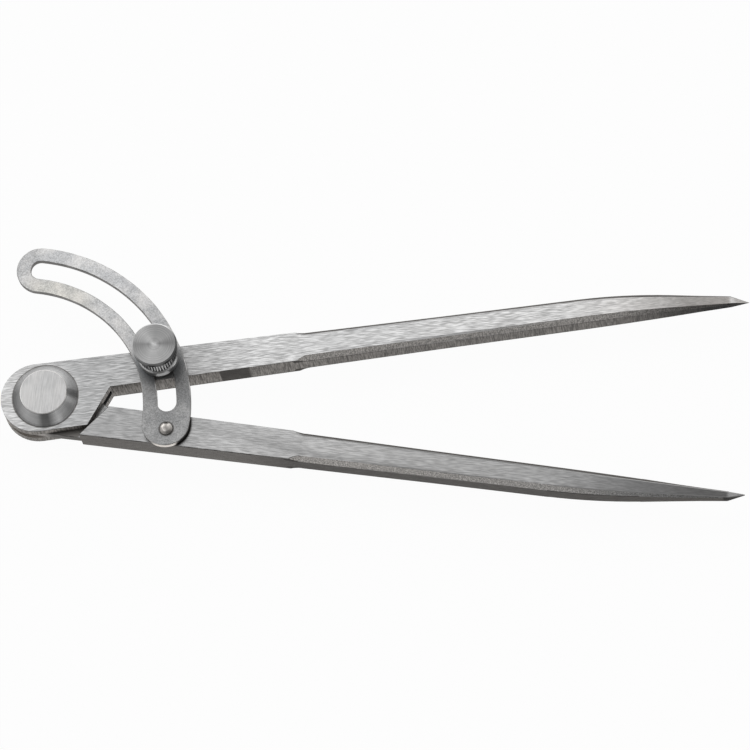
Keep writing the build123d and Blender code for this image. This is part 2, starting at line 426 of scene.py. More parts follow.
@dataclass(frozen=True)
class GroundSteel(Finish):
    """Flat faces ground along the leg, with darker walls and chamfers ground across it; the walls' darkness
    is partly their own finish and partly painted shade.
    """

    roughness: float = 0.36
    marks: Marks = Marks.STRAIGHT
    drawn: float = 0.6
    drift: float = math.radians(3.0)
    light: float = 0.645
    dark: float = 0.325
    # Tones paint light and shade along the leg: the face, chamfers and walls are made lighter and darker
    # from place to place, as the reflection changes.
    tones: Tones = EVEN
    chamfer_tones: Tones = EVEN
    wall_tones: Tones = EVEN
    reach_start: float = -0.012
    reach_end: float = 0.19
    along: float = 310.0
    across: float = 5800.0
    broad_grain: Place = (60.0, 600.0, 600.0)
    broad: float = 0.06
    scratches: float = 0.3
    calm: float = 0.5
    calm_start: float = 0.135
    calm_end: float = 0.165
    hatch: float = 3500.0
    hatch_height: float = 260.0
    chamfer: float = 0.56
    chamfer_hatch: float = 0.42
    far_chamfer: float = 0.13
    far_line: float = 0.0030
    # The walls' base lightness, kept dark partly as painted shade.
    wall: float = 0.19
    wall_hatch: float = 0.5
    # A patch of painted shade on the fork's inner wall.
    shaded_patch: Point | None = None
    shaded_patch_tone: float = 0.3
    # The edge_shade fields paint a line of shade along the top edge of the walls.
    edge_shade: float = 0.85
    edge_shade_start: float = 0.066
    edge_shade_height: float = 0.00235
    hub_edge_shade_height: float = 0.0036
    edge_shade_width: float = 0.00026
    tip_reach: float = 0.1822
    sharp: float = 0.0004
    # Near-black painted shadow, for the tip's front facet and for the wing's cast shadow.
    painted_shadow: Colour = grey(0.03, 0.05)
    # The joint fields paint shade inside the joint's slot: joint_open at its front, inside along the leg;
    # shade_ring_radius places painted shade round the big rivet's cone.
    joint_radius: float = 0.014
    joint_height: float = 0.00695
    joint_depth: float = 0.0013
    joint_open: float = 0.5
    inside: float = 0.06
    shade_ring_radius: float = 0.0
    shade_ring_width: float = 0.00022
    shadow_at: Point | None = None
    shadow_radius: float = 0.0068
    shadow_height: float = 0.0035

    def direction(self) -> float:
        """Direction of the marks, which drift a little off the leg's own line."""
        return self.angle - math.copysign(self.drift, self.angle)

    def paint(self, coat: Coat) -> None:
        """Gives the shader its colour, roughness and relief.

        Args:
            coat: The material's nodes.
        """
        at = self._map(coat)
        face = self._face(coat, at)
        colour = coat.blend(at.chamfer, face, self._slope(coat, at, face))
        colour = coat.blend(at.wall, colour, self._side(coat, at))
        # Painted shade: facets past the tip that face the front are drawn nearly black.
        facing = coat.span(coat.axis(coat.normal, "Y"), -0.2, -0.4)
        past_tip = coat.span(at.reach, self.tip_reach, self.tip_reach + self.sharp)
        colour = coat.blend(coat.times(facing, past_tip), colour, self.painted_shadow)
        coat.give("Base Color", self._painted_shade(coat, at, colour))
        dull = coat.math("ADD", coat.times(at.chamfer, 0.22), coat.times(at.wall, 0.16))
        rough = coat.span(at.streaks, 0.0, 1.0, 0.42, 0.3)
        coat.give("Roughness", coat.math("ADD", rough, dull))
        coat.engrave(coat.blend(at.wall, at.streaks, at.cross))

    def _map(self, coat: Coat) -> LegMap:
        """Measures a place on the leg.

        Args:
            coat: The material's nodes.

        Returns:
            The sockets.
        """
        sides = coat.effect(coat.effects.sides, Normal=coat.normal)
        leaning = coat.turn(coat.place, self.direction())
        grain = coat.effect(coat.effects.grain, Vector=leaning, Along=self.along, Across=self.across)
        upright = coat.stretch(leaning, (self.hatch, self.hatch, self.hatch_height))
        reach = coat.axis(coat.turn(coat.place, self.angle), "X")
        share = coat.math("SUBTRACT", reach, self.reach_start)
        lift = coat.math("SUBTRACT", coat.axis(coat.place, "Z"), self.joint_height)
        return LegMap(
            reach=reach,
            share=coat.math("DIVIDE", share, self.reach_end - self.reach_start),
            off_middle=coat.math("ABSOLUTE", lift),
            chamfer=sides["Chamfer"],
            wall=sides["Wall"],
            far=sides["Far"],
            leaning=leaning,
            streaks=grain["Streaks"],
            scratches=grain["Scratches"],
            cross=coat.span(coat.noise(upright, 1.0, 3.0, 0.65), 0.32, 0.68),
        )

    def _toned(self, coat: Coat, at: LegMap, colour: Socket, tones: Tones) -> Socket:
        """Paints light and shade along the leg: makes a colour lighter or darker from place to place.

        Args:
            coat: The material's nodes.
            at: Where on the leg a place is.
            colour: The colour.
            tones: Reach, lightness and sometimes warmth of each stop.

        Returns:
            The socket of the toned colour.
        """
        length = self.reach_end - self.reach_start
        stops = [((x - self.reach_start) / length, grey(tone / 2, *warmth)) for x, tone, *warmth in tones]
        return coat.tint(colour, coat.ramp(at.share, stops))

    @staticmethod
    def _hatched(coat: Coat, at: LegMap, tone: float, depth: float, warmth: float) -> Socket:
        """Colour of a surface that is hatched lighter and darker than its tone."""
        return coat.blend(at.cross, grey(tone * (1 - depth), warmth), grey(tone * (1 + depth), warmth))

    def _face(self, coat: Coat, at: LegMap) -> Socket:
        """Colour of the flat faces.

        Args:
            coat: The material's nodes.
            at: Where on the leg a place is.

        Returns:
            The colour's socket.
        """
        face = coat.blend(at.streaks, grey(self.dark), grey(self.light))
        broad = coat.span(coat.noise(coat.stretch(at.leaning, self.broad_grain), 1.0), 0.35, 0.68)
        face = coat.blend(coat.times(broad, self.broad), face, grey(self.light, 0.01))
        face = coat.blend(coat.times(at.scratches, self.scratches), face, grey(self.light * 1.3))
        calm = coat.span(at.reach, self.calm_start, self.calm_end, 0.0, self.calm)
        face = coat.blend(calm, face, grey((self.light + self.dark) / 2))
        return self._toned(coat, at, face, self.tones)

    def _slope(self, coat: Coat, at: LegMap, face: Socket) -> Socket:
        """Colour of the chamfers; the far ones show as a dark line of painted shade below the face's own
        colour.

        Args:
            coat: The material's nodes.
            at: Where on the leg a place is.
            face: Socket of the face's colour.

        Returns:
            The colour's socket.
        """
        slope = self._hatched(coat, at, self.chamfer, self.chamfer_hatch, 0.04)
        slope = self._toned(coat, at, slope, self.chamfer_tones)
        # Painted shade: the far chamfer is drawn as a dark line.
        line = coat.span(at.off_middle, self.far_line + self.sharp / 2, self.far_line)
        return coat.blend(at.far, slope, coat.blend(line, face, grey(self.far_chamfer, 0.06)))

    def _side(self, coat: Coat, at: LegMap) -> Socket:
        """Colour of the walls, with a patch of painted shade inside the fork and a line of painted shade
        below the face.

        Args:
            coat: The material's nodes.
            at: Where on the leg a place is.

        Returns:
            The colour's socket.
        """
        side = self._hatched(coat, at, self.wall, self.wall_hatch, 0.06)
        # Painted shade: a dark patch on the fork's inner wall.
        if self.shaded_patch:
            begin, finish = self.shaded_patch
            patch = coat.times(coat.span(at.reach, begin, begin + self.sharp), at.wall)
            patch = coat.times(patch, coat.span(at.reach, finish, finish - 3 * self.sharp))
            patch = coat.times(patch, coat.math("SUBTRACT", 1.0, at.far, clamp=True))
            side = coat.blend(patch, side, grey(self.wall * self.shaded_patch_tone, 0.08))
        side = self._toned(coat, at, side, self.wall_tones)
        # Painted shade along the wall's top edge, just below the face.
        heights = (self.hub_edge_shade_height, self.edge_shade_height)
        edge = coat.span(at.reach, self.edge_shade_start, self.edge_shade_start + MM, *heights)
        under = coat.math("DIVIDE", coat.math("SUBTRACT", edge, at.off_middle), self.edge_shade_width)
        return coat.blend(coat.times(coat.span(under, 1.6, 0.6), self.edge_shade), side, grey(0.04, 0.1))

    def _painted_shade(self, coat: Coat, at: LegMap, colour: Socket) -> Socket:
        """Paints shade: inside the joint's slot, in the crease round the big rivet's cone, and the shadow
        that the wing casts.

        Args:
            coat: The material's nodes.
            at: Where on the leg a place is.
            colour: Socket of the colour before the painted shade.

        Returns:
            The socket of the colour with the painted shade.
        """
        # Painted shade in the joint's slot: dark along the leg, lighter round the head at the front, the
        # wall's colour behind.
        pivot = (0.0, 0.0)
        near = coat.circle(Mask.DISC, pivot, self.joint_radius, self.sharp)
        slot = coat.math("LESS_THAN", at.off_middle, self.joint_depth)
        behind = coat.span(coat.axis(coat.place, "Y"), -2 * MM, 2 * MM)
        rim = coat.blend(behind, grey(self.joint_open, 0.05), grey(self.wall, 0.06))
        shade = coat.blend(coat.span(at.reach, -MM, 4 * MM), rim, grey(self.inside, 0.05))
        colour = coat.blend(coat.times(near, slot), colour, shade)
        # Painted shade in the crease round the base of the big rivet's cone.
        if self.shade_ring_radius:
            ring = coat.circle(Mask.RING, pivot, self.shade_ring_radius, self.shade_ring_width)
            colour = coat.blend(coat.times(ring, 0.9), colour, grey(0.05, 0.15))
        # Painted shadow of the wing's rounded end on the leg's face.
        if self.shadow_at:
            start = self.shadow_at[0]
            disc = coat.circle(Mask.DISC, self.shadow_at, self.shadow_radius, 0.5 * MM)
            disc = coat.times(disc, coat.span(at.reach, start, start + 3 * MM))
            height = self.joint_height + self.shadow_height
            top = coat.math("GREATER_THAN", coat.axis(coat.place, "Z"), height)
            colour = coat.blend(coat.times(disc, top), colour, self.painted_shadow)
        return colour


@dataclass(frozen=True)
class EdgeSteel(Finish):
    """Narrow broken edge, rubbed bright in places; its lightness is partly wear and partly a painted
    highlight along bright rims and painted shade along dark ones.
    """

    bright: float = 0.82
    dull: float = 0.34
    gentle: float | None = None
    steep_shade: float = 0.05
    patches: float = 260.0

    def paint(self, coat: Coat) -> None:
        """Gives the shader its colour.

        Args:
            coat: The material's nodes.
        """
        rubbed = coat.effect(coat.effects.rubbed, Vector=coat.place, Scale=self.patches)["Bright"]
        colour = coat.blend(rubbed, grey(self.dull, 0.02), grey(self.bright, 0.02))
        if self.gentle:
            lift = coat.math("ABSOLUTE", coat.axis(coat.normal, "Z"))
            colour = coat.blend(coat.span(lift, 0.8, 0.88), colour, grey(self.gentle, 0.01))
            # Painted shade: the steep parts of the edge are drawn as a dark line.
            steep = coat.times(coat.span(lift, 0.2, 0.3), coat.span(lift, 0.55, 0.45))
            colour = coat.blend(steep, colour, grey(self.steep_shade, 0.06))
        coat.give("Base Color", colour)


@dataclass(frozen=True)
class MattSteel(Finish):
    """Sheet steel with a fine granular finish, faintly blotched, with darker cut walls in painted shade, and
    painted reflection that darkens the lower plate.
    """

    roughness: float = 0.46
    light: float = 0.68
    dark: float = 0.38
    grains: float = 3000.0
    blotches: float = 170.0
    blotch: float = 0.34
    stain: float = 0.25
    # The walls are drawn dark in painted shade; the end wall facing the front is drawn light as a painted
    # highlight.
    wall: float = 0.14
    end_wall: float = 0.75
    end_drop: float = 0.003
    far: float = 0.86
    far_start: float = -0.001
    far_end: float = -0.005
    warm_at: Point = (0.002, 0.0262)
    warm_radius: float = 0.009
    warm_width: float = 0.006
    warm_tint: Colour = (1.015, 1.0, 0.945, 1.0)
    # lower and the Y span paint reflection: the lower plate is drawn darker than the upper arms.
    lower: float = 0.59
    lower_end: float = 0.003
    upper_start: float = 0.013
    screw_at: Point = (0.0, 0.0)
    screw_radius: float = 0.0
    # halo and clamp size the painted shadow of the clamp screw on the plate.
    halo: float = 0.32
    halo_width: float = 0.019
    clamp: float = 0.78
    clamp_above: float = 0.3
    clamp_width: float = 0.0034
    rivet_at: Point = (0.0, 0.0)
    rivet_radius: float = 0.0
    # Strength of the painted shade round the small rivet.
    shade_ring: float = 0.85
    shade_ring_width: float = 0.0003

    def paint(self, coat: Coat) -> None:
        """Gives the shader its colour, roughness and relief.

        Args:
            coat: The material's nodes.
        """
        marks = {"Vector": coat.place, "Grains": self.grains, "Blotches": self.blotches}
        speckle = coat.effect(coat.effects.speckle, **marks)
        across = coat.axis(coat.place, "Y")
        upper = coat.span(across, self.lower_end, self.upper_start)

        colour = coat.blend(speckle["Grain"], grey(self.dark, -0.012), grey(self.light, -0.012))
        patch = coat.times(speckle["Blotch"], self.blotch)
        patch = coat.times(patch, coat.span(upper, 0.0, 1.0, 0.35, 1.0))
        colour = coat.blend(patch, colour, grey(self.light * 1.12, 0.045))
        bluish = (self.dark * 1.1, self.dark * 1.1, self.dark * 1.16, 1.0)
        colour = coat.blend(coat.times(speckle["Stain"], self.stain), colour, bluish)
        # Painted reflection: the plate darkens towards its lower part.
        colour = coat.tint(colour, coat.blend(upper, grey(self.lower, 0.005), grey(1.0)))
        warm = coat.circle(Mask.DISC, self.warm_at, self.warm_radius, self.warm_width)
        colour = coat.blend(warm, colour, coat.tint(colour, self.warm_tint))
        # Painted reflection: the far end of the plate is drawn a little darker.
        beyond = coat.span(coat.axis(coat.place, "X"), self.far_start, self.far_end)
        colour = coat.tint(colour, coat.blend(beyond, grey(1.0), grey(self.far)))
        colour = self._shaded(coat, across, colour)

        # Painted light and shade on the walls: the end wall facing the front is drawn light, as if lit, the
        # other walls dark.
        low = self.rivet_at[1] - self.end_drop
        facing = coat.span(coat.axis(coat.normal, "Y"), -0.8, -0.95)
        end_wall = coat.times(facing, coat.span(across, low, low - 0.5 * MM))
        side = coat.blend(end_wall, grey(self.wall, 0.04), grey(self.end_wall, 0.06))
        wall = coat.effect(coat.effects.sides, Normal=coat.normal)["Wall"]
        colour = coat.blend(wall, colour, side)
        # Painted shade in the gap round the small rivet.
        ring = coat.circle(Mask.RING, self.rivet_at, self.rivet_radius, self.shade_ring_width)
        coat.give("Base Color", coat.blend(coat.times(ring, self.shade_ring), colour, grey(0.05, 0.1)))
        coat.give("Roughness", coat.span(speckle["Blotch"], 0.0, 1.0, 0.5, 0.4))
        coat.engrave(speckle["Grain"])

    def _shaded(self, coat: Coat, across: Socket, colour: Socket) -> Socket:
        """Paints the clamp screw's shadow on the plate round the screw, most of all below it.

        Args:
            coat: The material's nodes.
            across: Socket of the place's Y.
            colour: Socket of the plate's own colour.

        Returns:
            The socket of the darkened colour.
        """
        circle = (Mask.RING, self.screw_at, self.screw_radius)
        # Painted shadow of the screw: a soft dark ring round it.
        halo = coat.times(coat.circle(*circle, self.halo_width), self.halo)
        colour = coat.blend(halo, colour, grey(0.10))
        level = self.screw_at[1]
        # Painted shadow below the screw, darker than above it.
        below = coat.span(across, level + 2 * MM, level - 3 * MM, self.clamp_above, self.clamp)
        clamped = coat.times(coat.circle(*circle, self.clamp_width), below)
        return coat.blend(clamped, colour, grey(0.10, -0.06))


@dataclass(frozen=True)
class TurnedSteel(Finish):
    """Turned surfaces: fine rings round an axis, lighter and darker from angle to angle in degrees, which
    paints their reflections, highlights and shade.
    """

    marks: Marks = Marks.ROUND
    drawn: float = 0.9
    axis: Point = (0.0, 0.0)
    light: float = 0.50
    dark: float = 0.34
    warmth: float = 0.0
    rings: float = 3600.0
    broad: float = 0.35
    sectors: Sectors = ((-180.0, 1.0), (180.0, 1.0))
    hub_radius: float = 0.0
    hub: float = 1.0

    def paint(self, coat: Coat) -> None:
        """Gives the shader its colour and relief.

        Args:
            coat: The material's nodes.
        """
        shift = (-self.axis[0], -self.axis[1], 0.0)
        centred = coat.add("ShaderNodeMapping", {"Vector": coat.place, "Location": shift}).outputs[0]
        rings = coat.effect(coat.effects.rings, Vector=centred, Marks=self.rings)
        colour = coat.blend(rings["Rings"], grey(self.dark, self.warmth), grey(self.light, self.warmth))
        broad = coat.times(rings["Broad"], self.broad)
        colour = coat.blend(broad, colour, grey(self.light * 1.1, self.warmth))
        # Painted light by angle: the sectors paint reflections, highlights and shade round the axis.
        turn = coat.add("ShaderNodeTexGradient", {"Vector": centred}, gradient_type="RADIAL").outputs["Fac"]
        sector = coat.ramp(turn, [(angle / 360 + 0.5, grey(tone / 2)) for angle, tone in self.sectors])
        # The hub's lightness is a painted reflection at the centre.
        if self.hub_radius:
            sector = coat.blend(coat.span(rings["Radius"], self.hub_radius, 0.0), sector, grey(self.hub))
        coat.give("Base Color", coat.tint(colour, sector))
        coat.engrave(rings["Rings"])


@dataclass(frozen=True)
class BrushedSteel(Finish):
    """A face rubbed straight in one direction."""

    marks: Marks = Marks.STRAIGHT
    drawn: float = 0.3
    light: float = 0.47
    dark: float = 0.36
    along: float = 200.0
    across: float = 4200.0
    grains: float = 900.0
    blotches: float = 150.0
    blotch: float = 0.4

    def paint(self, coat: Coat) -> None:
        """Gives the shader its colour and relief.

        Args:
            coat: The material's nodes.
        """
        turned = coat.turn(coat.place, self.angle)
        grain = coat.effect(coat.effects.grain, Vector=turned, Along=self.along, Across=self.across)
        colour = coat.blend(grain["Streaks"], grey(self.dark), grey(self.light))
        marks = {"Vector": coat.place, "Grains": self.grains, "Blotches": self.blotches}
        patch = coat.times(coat.effect(coat.effects.speckle, **marks)["Blotch"], self.blotch)
        coat.give("Base Color", coat.blend(patch, colour, grey(self.light * 1.15, 0.02)))
        coat.engrave(grain["Streaks"])


class Bench:
    """Modelling steps that the sub-assemblies share."""

    weld = 0.002 * MM
    flat_angle = math.radians(0.2)
    edge_slot = 1

    @staticmethod
    def only(piece: Piece) -> None:
        """Selects one object and makes it active.

        Args:
            piece: The object.
        """
        bpy.ops.object.select_all(action="DESELECT")
        piece.select_set(True)
        bpy.context.view_layer.objects.active = piece

    @classmethod
    def copy_of(cls, node: str, name: str) -> Piece:
        """Copies a CAD node's mesh into a new piece, with its loose triangles joined.

        Args:
            node: Name of the CAD node.
            name: Name of the new piece.

        Returns:
            The new piece.
        """
        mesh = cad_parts[node].data.copy()
        mesh.name = name
        mesh.materials.clear()
        piece = bpy.data.objects.new(name, mesh)
        bpy.context.scene.collection.objects.link(piece)
        cls.only(piece)
        bpy.ops.mesh.customdata_custom_splitnormals_clear()
        bpy.ops.object.mode_set(mode="EDIT")
        bpy.ops.mesh.select_all(action="SELECT")
        bpy.ops.mesh.remove_doubles(threshold=cls.weld)
        bpy.ops.mesh.dissolve_limited(angle_limit=cls.flat_angle)
        bpy.ops.object.mode_set(mode="OBJECT")
        return piece

    @classmethod
    def break_edges(cls, piece: Piece, width: float, least: float = 30.0) -> None:
        """Breaks the sharp edges of a piece with a narrow flat that takes the edge finish.

        Args:
            piece: The piece, with its edge finish in the second material slot.
            width: Width of the broken edge, in metres.
            least: Smallest turn of an edge that counts as sharp, in degrees.
        """
        cls.only(piece)
        bevel = piece.modifiers.new("broken_edges", "BEVEL")
        bevel.width = width
        bevel.segments = 1
        bevel.limit_method = "ANGLE"
        bevel.angle_limit = math.radians(least)
        bevel.material = cls.edge_slot
        bpy.ops.object.modifier_apply(modifier=bevel.name)

    @classmethod
    def smooth(cls, piece: Piece, angle: float = SMOOTH_ANGLE) -> None:
        """Shades a piece smooth, apart from edges that turn by more than an angle."""
        cls.only(piece)
        bpy.ops.object.shade_smooth_by_angle(angle=angle)

    @staticmethod
    def turn(name: str, axis: Point, profile: list[Point], steps: int) -> Piece:
        """Turns a solid on an upright axis: a disc that is drawn out ring by ring.

        Args:
            name: Name of the piece.
            axis: Place of the axis, in metres.
            profile: Radius and height of each ring, in metres.
            steps: Number of sides.

        Returns:
            The new piece.
        """
        radius, height = profile[0]
        bpy.ops.object.select_all(action="DESELECT")
        bpy.ops.mesh.primitive_circle_add(
            vertices=steps, radius=radius, fill_type="NGON", location=(*axis, height)
        )
        piece = bpy.context.object
        piece.name = name
        bpy.ops.object.mode_set(mode="EDIT")
        bpy.ops.mesh.select_mode(type="FACE")
        bpy.ops.mesh.select_all(action="SELECT")
        for next_radius, next_height in profile[1:]:
            move = {"value": (0, 0, next_height - height)}
            bpy.ops.mesh.extrude_region_move(TRANSFORM_OT_translate=move)
            share = next_radius / radius
            centre = (*axis, next_height)
            bpy.ops.transform.resize(value=(share, share, 1), center_override=centre)
            radius, height = next_radius, next_height
        bpy.ops.mesh.select_all(action="SELECT")
        bpy.ops.mesh.normals_make_consistent(inside=False)
        bpy.ops.object.mode_set(mode="OBJECT")
        return piece

    @classmethod
    def settle(cls, piece: Piece) -> None:
        """Puts a piece's place into its mesh, so that its object sits at the origin."""
        cls.only(piece)
        bpy.ops.object.transform_apply(location=True, rotation=True, scale=True)

    @classmethod
    def join(cls, name: str, pieces: list[Piece]) -> Piece:
        """Joins pieces into one and settles it.

        Args:
            name: Name of the joined piece.
            pieces: The pieces, the first of which lends its material slots.

        Returns:
            The joined piece.
        """
        bpy.ops.object.select_all(action="DESELECT")
        for piece in pieces:
            piece.select_set(True)
        bpy.context.view_layer.objects.active = pieces[0]
        bpy.ops.object.join()
        pieces[0].name = name
        cls.settle(pieces[0])
        return pieces[0]

    @staticmethod
    def dress(piece: Piece, *materials: Material) -> None:
        """Gives a piece its material slots.

        Args:
            piece: The piece.
            materials: The materials, in the order of the slots.
        """
        piece.data.materials.clear()
        for material in materials:
            piece.data.materials.append(material)

    @staticmethod
    def report(piece: Piece) -> None:
        """Logs a finished piece with its number of faces."""
        LOG.info("%s: %d faces", piece.name, len(piece.data.polygons))


@dataclass
class Legs:
    """The fork leg and the tongue leg, with their broken edges."""

    effects: Effects
    half_angle = math.radians(8.285)
    edge: float = 0.15 * MM
    shadow_shift: Point = (-0.31 * MM, 1.69 * MM)
    # Leg edges are dark: painted shade along them, lighter on the gentle edges and near black on the steep
    # ones.
    edge_steel: EdgeSteel = EdgeSteel("leg_edge", bright=0.42, dull=0.10, gentle=0.44)
    fork_steel: GroundSteel = GroundSteel(
        "fork_leg_steel", angle=half_angle,
        # Painted shade on the fork's inner wall.
        shaded_patch=(46.6 * MM, 55.4 * MM),
        # Painted shade in the crease round the base of the big rivet's cone.
        shade_ring_radius=8.86 * MM,
        # Painted light and shade along the fork's face: the changing reflection, darker near the wing and
        # screw, and a painted highlight on the tip facet's rim.
        tones=(
            (-0.012, 1.12), (-0.004, 0.90), (0.008, 0.84, -0.005), (0.040, 0.77), (0.057, 1.14),
            (0.081, 1.08), (0.139, 1.20, 0.005), (0.158, 1.28, 0.02), (0.173, 0.82, 0.035),
            (0.1832, 1.0, 0.05), (0.1838, 1.9, 0.01), (0.1848, 1.2, 0.03), (0.19, 1.0, 0.045),
        ),
        # Painted shade: the chamfers darken towards the tip.
        chamfer_tones=(
            (-0.012, 1.12), (0.080, 1.15), (0.110, 1.0), (0.150, 0.98), (0.158, 0.78), (0.166, 0.42),
            (0.176, 0.26, 0.01), (0.19, 0.10),
        ),
        # Painted light and shade on the walls: lighter near the hub, darkening towards the tip.
        wall_tones=(
            (-0.012, 1.3), (0.065, 1.2), (0.110, 1.0), (0.150, 1.0), (0.160, 0.7), (0.168, 0.3),
            (0.178, 0.1), (0.19, 0.06),
        ),
    )
    tongue_steel: GroundSteel = GroundSteel(
        # inside sets the painted shade in the joint's slot, lighter on this leg.
        "tongue_leg_steel", angle=-half_angle, light=0.475, dark=0.325, inside=0.15,
        hatch_height=3500.0, chamfer_hatch=0.46, wall_hatch=0.22,
        # Painted light and shade along the tongue's face: the changing reflection, darker towards the tip,
        # with a painted highlight on the tip facet's rim.
        tones=(
            (-0.012, 0.88, -0.005), (0.035, 0.87), (0.050, 1.06), (0.077, 1.03, 0.004),
            (0.108, 0.90, 0.004), (0.138, 0.85, 0.002), (0.159, 0.54), (0.177, 0.39, 0.01),
            (0.1832, 0.40, 0.01), (0.1838, 1.1), (0.19, 0.8),
        ),
        # Painted shade: the chamfers darken and cool towards the tip, and the tip's front facet is black.
        chamfer_tones=(
            (-0.012, 1.08), (0.080, 1.12), (0.140, 0.98, -0.01), (0.158, 0.66, -0.03),
            (0.172, 0.48, -0.03), (0.1825, 0.42, -0.03), (0.1836, 0.05), (0.19, 0.05),
        ),
        # Painted shade on the walls, darker past the hub and black at the tip.
        wall_tones=(
            (-0.012, 0.76), (0.055, 0.85), (0.068, 0.52), (0.150, 0.48), (0.175, 0.5, 0.02),
            (0.1825, 0.5, 0.02), (0.1836, 0.04), (0.19, 0.04),
        ),
    )

    def build(self) -> None:
        """Makes both legs and lets each ride on its body."""
        rivet_at = middle(*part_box("wing_rivet"))
        shadow_at = (rivet_at[0] + self.shadow_shift[0], rivet_at[1] + self.shadow_shift[1])
        edge = self.edge_steel.build(self.effects)
        fork, tongue = self.fork_steel, replace(self.tongue_steel, shadow_at=shadow_at)
        for node, body, steel in (("fork_leg", "fork_side", fork), ("tongue_leg", "tongue_side", tongue)):
            piece = Bench.copy_of(node, f"{node}_ground")
            Bench.dress(piece, steel.build(self.effects), edge)
            Bench.break_edges(piece, self.edge)
            Bench.smooth(piece)
            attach(piece, body)
            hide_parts(node)
            Bench.report(piece)


@dataclass
class PivotJoint:
    """The big rivet with its conical head, and the washer below."""

    effects: Effects
    base_radius: float = 8.75 * MM
    top_radius: float = 6.325 * MM
    cone: float = 3.35 * MM
    rim: float = 0.18 * MM
    lip: float = 0.12 * MM
    shank: float = 4.0 * MM
    peened_radius: float = 4.6 * MM
    peened_depth: float = 0.9 * MM
    leg_thickness: float = 7.2 * MM
    washer_edge: float = 0.1 * MM
    steps: int = 144
    cone_steel: TurnedSteel = TurnedSteel(
        "rivet_cone", light=0.44, dark=0.34, roughness=0.3, rings=5200.0,
        # Painted reflections on the cone: bright and dark sectors by angle, a dark one at the front.
        sectors=(
            (-180.0, 0.56), (-150.0, 0.85), (-126.0, 1.4), (-102.0, 1.2), (-90.0, 0.45), (-78.0, 0.42),
            (-68.0, 1.1), (-58.0, 1.8), (-25.0, 1.35), (10.0, 1.2), (50.0, 1.8), (95.0, 1.2),
            (150.0, 0.9), (180.0, 0.56),
        ),
    )
    face_steel: BrushedSteel = BrushedSteel("rivet_face", angle=math.radians(86))
    # Painted highlight: the cone's top rim and the washer's edges are drawn nearly white.
    rim_steel: EdgeSteel = EdgeSteel("rivet_rim", bright=1.0, dull=0.8)

    def build(self) -> None:
        """Makes the rivet and its washer and lets them ride with the fork leg."""
        over = self.cone + self.leg_thickness
        top = over + self.cone
        turned = self.cone_steel.build(self.effects)
        face = self.face_steel.build(self.effects)
        rim = self.rim_steel.build(self.effects)
        profile = [
            (self.peened_radius, 0.0),
            (self.shank, self.peened_depth),
            (self.shank, over),
            (self.base_radius - self.lip, over),
            (self.base_radius, over + self.lip * 0.6),
            (self.base_radius - self.lip * 0.4, over + self.lip * 1.6),
            (self.top_radius, top - self.rim),
            (self.top_radius - self.rim, top),
        ]
        rivet = Bench.turn("pivot_rivet_turned", (0, 0), profile, self.steps)
        Bench.dress(rivet, turned, face, rim)
        for side in rivet.data.polygons:
            height = side.center.z
            if side.normal.z > 0.99 and height > top - self.rim:
                side.material_index = Slot.FACE
            elif height > top - self.rim * 0.9:
                side.material_index = Slot.RIM
        washer = Bench.copy_of("rivet_washer", "rivet_washer_turned")
        Bench.dress(washer, turned, rim)
        Bench.break_edges(washer, self.washer_edge, 40.0)
        for piece, node in ((rivet, "pivot_rivet"), (washer, "rivet_washer")):
            Bench.settle(piece)
            Bench.smooth(piece)
            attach(piece, "fork_side")
            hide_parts(node)
            Bench.report(piece)


@dataclass
class Wing:
    """The slotted plate and the small rivet that holds it."""

    effects: Effects
    edge: float = 0.13 * MM
    shank: float = 1.25 * MM
    tail_radius: float = 1.85 * MM
    tail_depth: float = 0.7 * MM
    button: float = 1.8 * MM
    shade_ring: float = 0.12 * MM
    collar_radius: float = 5.45 * MM
    round_angle: float = math.radians(50)
    steps: int = 48
    plate_steel: MattSteel = MattSteel("wing_steel")
    # The plate's broken edges: wear, and a painted highlight along them.
    edge_steel: EdgeSteel = EdgeSteel("wing_edge", bright=0.75, dull=0.28)
    rivet_steel: TurnedSteel = TurnedSteel(
        "wing_rivet_steel", light=0.5, dark=0.3, warmth=0.05, roughness=0.26, rings=1500.0, drawn=0.2,
        # Painted reflections on the dome: a darker centre and bright sectors by angle.
        hub_radius=1.5 * MM, hub=0.42,
        sectors=(
            (-180.0, 1.0), (-135.0, 1.6), (-105.0, 1.5), (-75.0, 0.7), (-40.0, 0.6), (-10.0, 0.9),
            (30.0, 1.2), (50.0, 1.9), (70.0, 1.3), (90.0, 0.7), (115.0, 1.4), (180.0, 1.0),
        ),
    )

    def build(self) -> None:
        """Makes the plate and its rivet."""
        low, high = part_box("wing_rivet")
        rivet_at = middle(low, high)
        plate = Bench.copy_of("wing", "wing_matt")
        matt = replace(
            self.plate_steel,
            rivet_at=rivet_at,
            rivet_radius=self.button + self.shade_ring,
            screw_at=middle(*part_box("clamp_screw")),
            screw_radius=self.collar_radius,
        )
        edge = self.edge_steel.build(self.effects)
        Bench.dress(plate, matt.build(self.effects), edge)
        Bench.break_edges(plate, self.edge)
        Bench.smooth(plate)
        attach(plate, "wing")
        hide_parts("wing")
        Bench.report(plate)

        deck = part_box("wing")[1].z
        dome = high.z - deck
        profile = [(self.tail_radius, low.z), (self.shank, low.z + self.tail_depth), (self.shank, deck)]
        profile.append((self.button * 0.96, deck + 0.02 * MM))
        for width, lift in ((1.0, 0.2), (0.93, 0.5), (0.74, 0.78), (0.5, 0.9), (0.2, 0.94)):
            profile.append((self.button * width, deck + dome * lift))
        rivet = Bench.turn("wing_rivet_bright", rivet_at, profile, self.steps)
        Bench.dress(rivet, replace(self.rivet_steel, axis=rivet_at).build(self.effects))
        Bench.settle(rivet)
        Bench.smooth(rivet, self.round_angle)
        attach(rivet, "tongue_side")
        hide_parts("wing_rivet")
        Bench.report(rivet)


